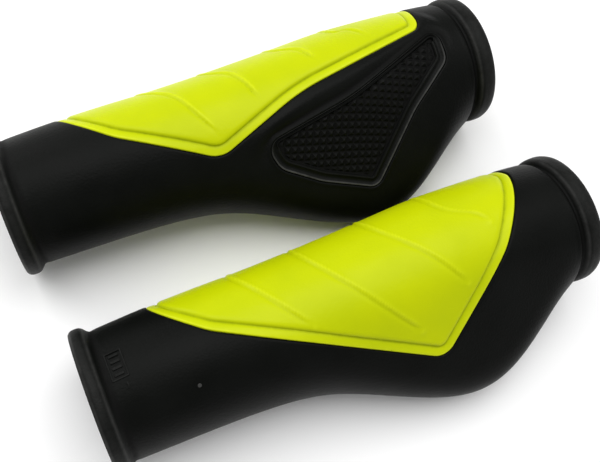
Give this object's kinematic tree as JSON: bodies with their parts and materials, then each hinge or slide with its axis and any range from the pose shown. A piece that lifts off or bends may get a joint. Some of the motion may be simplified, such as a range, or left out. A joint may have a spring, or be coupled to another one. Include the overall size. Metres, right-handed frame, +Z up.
{
  "type": "handlebar grips",
  "caption": "Pair of ergonomic handlebar grips with flared palm wings, two end rings, wrap-over gel panels, textured finger pads and push-in end plugs.",
  "frame": {"origin": "centre of the pair's box, at the level of the surface that the grips lie on", "axes": "+X along both bar bores from the inner ends to the outer ends, palm wings towards -Y, +Z up"},
  "size_m": [0.1342, 0.1035, 0.0354],
  "materials": {
    "rubber": "soft matte moulded rubber",
    "pad": "matte rubber with small pyramids",
    "gel": "satin fluorescent yellow-green elastomer",
    "sleeve": "moulded dark plastic",
    "plug": "fine-grained moulded plastic"
  },
  "bodies": {
    "right_grip": {"right_core_sleeve": "sleeve", "right_rubber_body": "rubber", "right_gel_panel": "gel", "right_finger_pad": "pad"},
    "left_grip": {"left_core_sleeve": "sleeve", "left_rubber_body": "rubber", "left_gel_panel": "gel", "left_finger_pad": "pad"},
    "right_plug": {"right_end_plug": "plug"},
    "left_plug": {"left_end_plug": "plug"}
  },
  "joints": [
    {"name": "left_grip_lift", "type": "slide", "parent": "right_grip", "child": "left_grip", "axis": [0, 0, 1], "range_m": [0, 0.08]},
    {"name": "right_plug_pull", "type": "slide", "parent": "right_grip", "child": "right_plug", "axis": [1, 0, 0], "range_m": [0, 0.025]},
    {"name": "left_plug_pull", "type": "slide", "parent": "left_grip", "child": "left_plug", "axis": [1, 0, 0], "range_m": [0, 0.025]}
  ]
}
